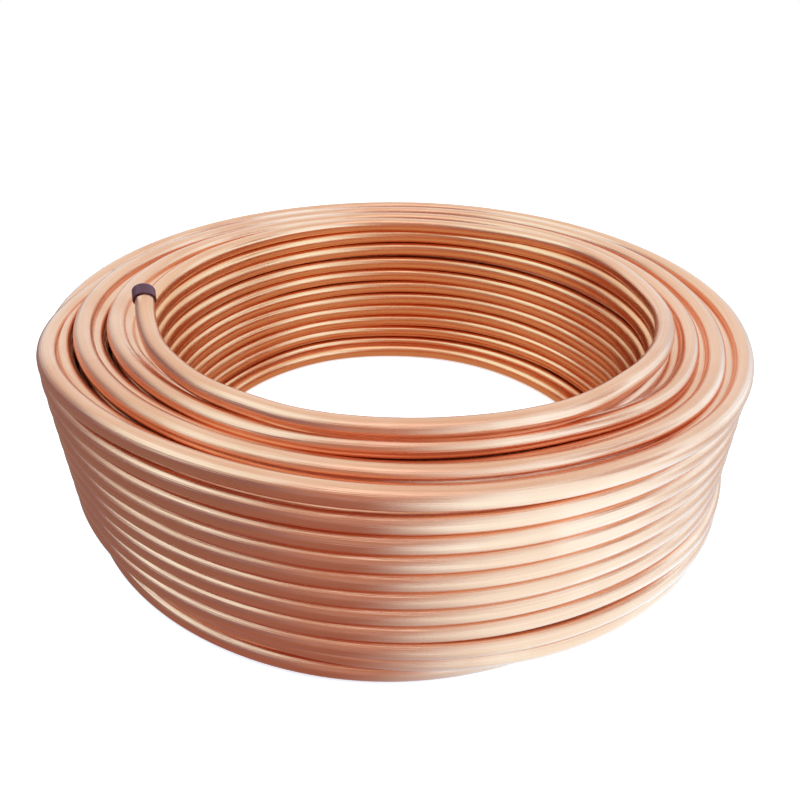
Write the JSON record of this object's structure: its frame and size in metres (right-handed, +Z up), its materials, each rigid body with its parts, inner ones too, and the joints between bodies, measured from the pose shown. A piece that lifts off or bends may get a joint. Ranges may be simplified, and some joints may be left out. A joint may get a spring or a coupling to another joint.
{
  "type": "copper tube coil",
  "caption": "Level-wound coil of soft copper tube in nested layers round an open bore, its last turn lying loose on top with a plastic cap on the free end.",
  "frame": {"origin": "on the winding axis at floor level", "axes": "+Z up along the winding axis; +X to the right and +Y away from the picture's viewpoint"},
  "size_m": [0.391, 0.391, 0.1335],
  "materials": {
    "copper": "bright drawn soft copper",
    "cap_plastic": "dark violet-black soft plastic"
  },
  "bodies": {
    "root": {"tube_coil": "copper", "last_turn": "copper", "end_cap": "cap_plastic"}
  },
  "joints": []
}
